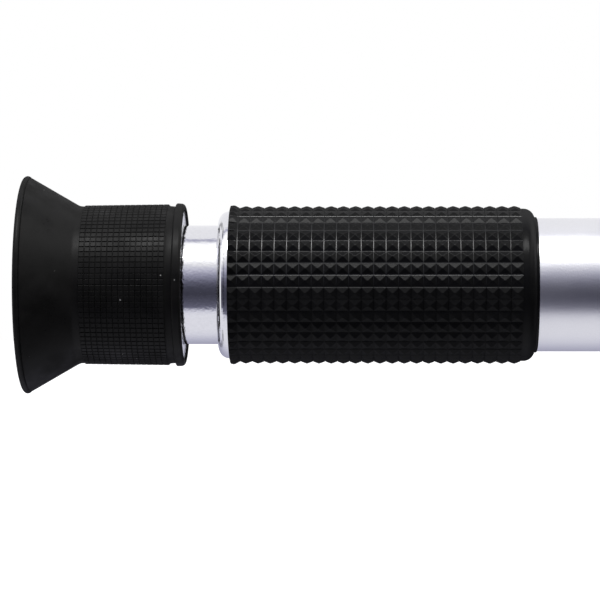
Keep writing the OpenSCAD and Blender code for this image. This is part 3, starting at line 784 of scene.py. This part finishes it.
tree, shader = new_finish("grip_rubber", Specular_IOR_Level=0.085, Coat_Roughness=0.28)
shader.distribution = "GGX"
fine = effect(tree, grain, Scale=6000.0)
patch = effect(tree, handling, Scale=110.0)
speck = effect(tree, dust, Scale=420.0, Share=0.02, Size=0.09)
worn = effect(tree, wear)
rail_middle, dust_colour = groove_r + 0.035, (0.12, 0.12, 0.12, 1)
rubber = shades(tree, patch, (0.003, 0.003, 0.0032), (0.005, 0.005, 0.0053))
tree.links.new(mixed(tree, speck, rubber, dust_colour), shader.inputs["Base Color"])
dulled = combine(tree, "ADD", between(tree, fine, 0.16, 0.26), at_slant(tree, 0.3, 0.8, 0.0, 0.5))
dulled = combine(tree, "ADD", dulled, between(tree, worn, 0.0, 0.2))
tree.links.new(dulled, shader.inputs["Roughness"])
relief(tree, shader, fine, 0.004)
polish = effect(tree, grooves, Middle=rail_middle)
polish = combine(tree, "MULTIPLY", polish, at_slant(tree, 0.3, 0.55, 0.9, 0.0))
polish = combine(tree, "MULTIPLY", polish, between(tree, worn, 1.0, 0.0))
tree.links.new(polish, shader.inputs["Coat Weight"])
print("Grip rubber ready")

# %% [markdown]
# ### Rubber of the eyecup
# The eyecup is softer and duller, with a dry bloom in patches and a few white specks of dust, which black
# rubber always shows. It gets rougher at a slant, as the grip does. The cap, the seal and the damping
# ring are of the same rubber, so they share the finish.

# %% Rubber of the eyecup
tree, shader = new_finish("eyecup_rubber", Specular_IOR_Level=0.095)
shader.distribution = "GGX"
fine = effect(tree, grain, Scale=5000.0)
patch = effect(tree, handling, Scale=130.0)
speck = effect(tree, dust, Scale=420.0, Share=0.4, Size=0.055)
dust_colour = (0.3, 0.3, 0.29, 1)
rubber = shades(tree, patch, (0.005, 0.0049, 0.0048), (0.008, 0.0078, 0.0076))
tree.links.new(mixed(tree, speck, rubber, dust_colour), shader.inputs["Base Color"])
dulled = combine(tree, "ADD", between(tree, patch, 0.2, 0.55), at_slant(tree, 0.3, 0.8, 0.0, 0.45))
tree.links.new(dulled, shader.inputs["Roughness"])
relief(tree, shader, fine, 0.006)
print("Eyecup rubber ready")

# %% [markdown]
# ### Optical glass
# The prism, the lenses and the scale disc are clear glass, with a trace of handling in their polish. A
# Glass shader would do as well, but the Principled shader's transmission keeps all finishes alike.

# %% Optical glass
tree, shader = new_finish(
    "optical_glass", Base_Color=(0.93, 0.97, 0.97, 1), Transmission_Weight=1.0, IOR=1.52,
)
patch = effect(tree, handling, Scale=200.0)
tree.links.new(between(tree, patch, 0.0, 0.04), shader.inputs["Roughness"])
print("Optical glass ready")

# %% [markdown]
# ### Daylight plate
# The daylight plate is clear acrylic that is ground matt, so that it lights the sample evenly. Ground
# marks are never quite even, so its roughness comes from a fine grain and not from one value.

# %% Daylight plate
tree, shader = new_finish(
    "clear_acrylic", Base_Color=(0.93, 0.96, 0.97, 1), Transmission_Weight=1.0, IOR=1.49,
)
fine = effect(tree, grain, Scale=5000.0)
tree.links.new(between(tree, fine, 0.08, 0.24), shader.inputs["Roughness"])
relief(tree, shader, fine, 0.004)
print("Daylight plate ready")

# %% [markdown]
# ## Putting the finishes on
# The record gives each node's finish by name. The loaded nodes already carry plain materials of those
# names, so the finishes above are kept in a list of their own, and one loop dresses the CAD nodes and
# the new pieces alike.

# %% Dress every piece
finish_of = {part["node"]: part["material_slot"] for part in frame["record"]["subparts"]}
for node, finish in finish_of.items():
    if node in stands_for:
        stands_for[node].data.materials.clear()
        stands_for[node].data.materials.append(finishes[finish])
    else:
        for slot in frame["nodes"][node].material_slots:
            slot.material = finishes[finish]
print(len(finish_of), "pieces dressed in", len(set(finish_of.values())), "finishes")

# %% [markdown]
# ## The light
# Metal is only as good as what it mirrors. The studio is a pale room with one long soft light above the
# barrel on the camera's side, a dark side behind the camera, which gives the barrel its dark stripe,
# and a pale table below. The room's shade depends on the height angle round the barrel's axis, so it
# is a colour ramp over that angle. The camera itself sees plain white.

# %% Grade the room
def graded(tree, value, stops, tint=0.0):
    """A ramp of greys over a value from 0 to 1. A tint turns the dark ones towards violet blue."""
    ramp = put(tree, "ShaderNodeValToRGB", {"Fac": value})
    for i, (place, level) in enumerate(stops):
        stop = ramp.color_ramp.elements[i] if i < 2 else ramp.color_ramp.elements.new(1.0)
        stop.position = place
        stop.color = (level, level, level * (1 + tint * max(0, 1 - level)), 1)
    return ramp.outputs["Color"]


world = bpy.data.worlds.new("studio")
bpy.context.scene.world = world
world.use_nodes = True
tree = world.node_tree
place = put(tree, "ShaderNodeTexCoord")
split = put(tree, "ShaderNodeSeparateXYZ", {"Vector": place.outputs["Generated"]})
ahead = combine(tree, "MULTIPLY", split.outputs["Y"], -1.0)
height = combine(tree, "ARCTAN2", split.outputs["Z"], ahead)
# Each step: its height angle in degrees, where 0 is behind the camera and 90 is overhead, and its level
room_steps = (
    (-180, 0.6), (-172, 0.38), (-157, 0.4), (-134, 0.56), (-112, 0.78), (-95, 0.86), (-60, 0.86),
    (-52, 0.72), (-46, 0.2), (-41, 0.125), (-30, 0.08), (-18, 0.05), (-6, 0.064), (5, 0.125),
    (17, 0.3), (29, 0.6), (41, 0.97), (47, 1.3), (85, 1.3), (91, 0.9), (93, 0.5), (98, 0.5),
    (101, 0.95), (176, 0.95), (180, 0.6),
)
dark_tint = 0.45
round_once = spread(tree, height, -math.pi, math.pi)
room = graded(
    tree, round_once, [((degrees + 180) / 360, level) for degrees, level in room_steps], tint=dark_tint,
)
print("Room graded in", len(room_steps), "steps")

# %% [markdown]
# ### The ends of the room
# Towards its two ends the room changes. A darker frame stands at both ends, which the collar's rounded
# edge mirrors as a thin grey line. Behind it the end at the eyecup is white. The far end is dim near
# the floor and has a bright soft window high up. The flared cone of the eyecup mirrors both, so it
# goes slowly from grey at the top to near black below its middle.

# %% Close the ends of the room
# Each step: its place from 0 to 1, towards the end for the frame and upwards for the window, and its level
frame_steps = ((0.46, 1), (0.5, 0.45), (0.56, 0.45), (0.6, 1))
window_steps = (
    (0.4, 0.1), (0.5, 0.17), (0.58, 0.4), (0.67, 0.73), (0.74, 1.25), (0.82, 2.0), (0.88, 1.9), (1.0, 0.7),
)
near_white, plain_white = (0.95, 0.95, 0.97, 1), (1, 1, 1, 1)
sideways = split.outputs["X"]
end_on = put(tree, "ShaderNodeMath", {0: sideways}, operation="ABSOLUTE").outputs["Value"]
frame_shade = graded(tree, end_on, frame_steps)
framed = mixed(tree, 1.0, room, frame_shade, blend="MULTIPLY")
near_end = spread(tree, sideways, -0.77, -0.87)
near_closed = mixed(tree, near_end, framed, near_white)
far_shade = graded(tree, spread(tree, split.outputs["Z"], -1.0, 1.0), window_steps)
far_end = spread(tree, sideways, 0.5, 0.72)
closed = mixed(tree, far_end, near_closed, far_shade)
ray = put(tree, "ShaderNodeLightPath")
plain = combine(tree, "MAXIMUM", ray.outputs["Is Camera Ray"], ray.outputs["Is Transmission Ray"])
seen = mixed(tree, plain, closed, plain_white)
tree.links.new(seen, tree.nodes["Background"].inputs["Color"])
print("Room closed")

# %% [markdown]
# ### The soft light
# One long lamp hangs above the barrel on the camera's side and gives the metal its white band. A
# rectangle is chosen because its reflection has straight edges, as that of a studio lamp has. Its
# power is worked out from its area, so that its brightness in a mirror stays the same if its size is
# changed.

# %% Hang the soft light
light_turn, light_far, light_l, light_w, light_level = 63, 600, 600, 170, 9
light_angle = math.radians(light_turn)
light_place = Vector((0, -math.cos(light_angle), math.sin(light_angle))) * light_far * MM
bpy.ops.object.light_add(type="AREA", location=light_place)
soft_light = bpy.context.object
soft_light.rotation_euler = (-light_place).to_track_quat("-Z", "Y").to_euler()
soft_light.data.shape = "RECTANGLE"
soft_light.data.size, soft_light.data.size_y = light_l * MM, light_w * MM
soft_light.data.energy = light_level * math.pi * light_l * light_w * MM ** 2
print("Soft light of", round(soft_light.data.energy, 2), "W")

# %% [markdown]
# ## The table
# A plain pale table lies under the instrument and takes its shadow. Further away the lamp's light falls
# off, so there the table glows a little for the camera and stays white up to the horizon. The metal
# mirrors the graded room below instead of it.

# %% Lay the table
table_side, table_drop = 6000, 70
glow_start, glow_full, glow_level = 100, 450, 0.35
table = begin(
    bpy.ops.mesh.primitive_plane_add, size=table_side * MM, location=(0, 0, -table_drop * MM),
)
table.name = "table"
tree, shader = new_finish("pale_table", Roughness=0.9, Specular_IOR_Level=0.1)
fine = effect(tree, grain, Scale=900.0)
tree.links.new(shades(tree, fine, (0.84, 0.84, 0.84), (0.88, 0.88, 0.88)), shader.inputs["Base Color"])
place = put(tree, "ShaderNodeTexCoord")
away = put(tree, "ShaderNodeVectorMath", {0: place.outputs["Object"]}, operation="LENGTH")
fade = spread(tree, away.outputs["Value"], glow_start * MM, glow_full * MM, 0.0, glow_level)
ray = put(tree, "ShaderNodeLightPath")
glow = combine(tree, "MULTIPLY", ray.outputs["Is Camera Ray"], fade)
shader.inputs["Emission Color"].default_value = plain_white
tree.links.new(glow, shader.inputs["Emission Strength"])
table.data.materials.append(finishes["pale_table"])
table.visible_glossy = False
table.visible_diffuse = False
bpy.context.scene.view_settings.view_transform = "Standard"
print("Table laid")
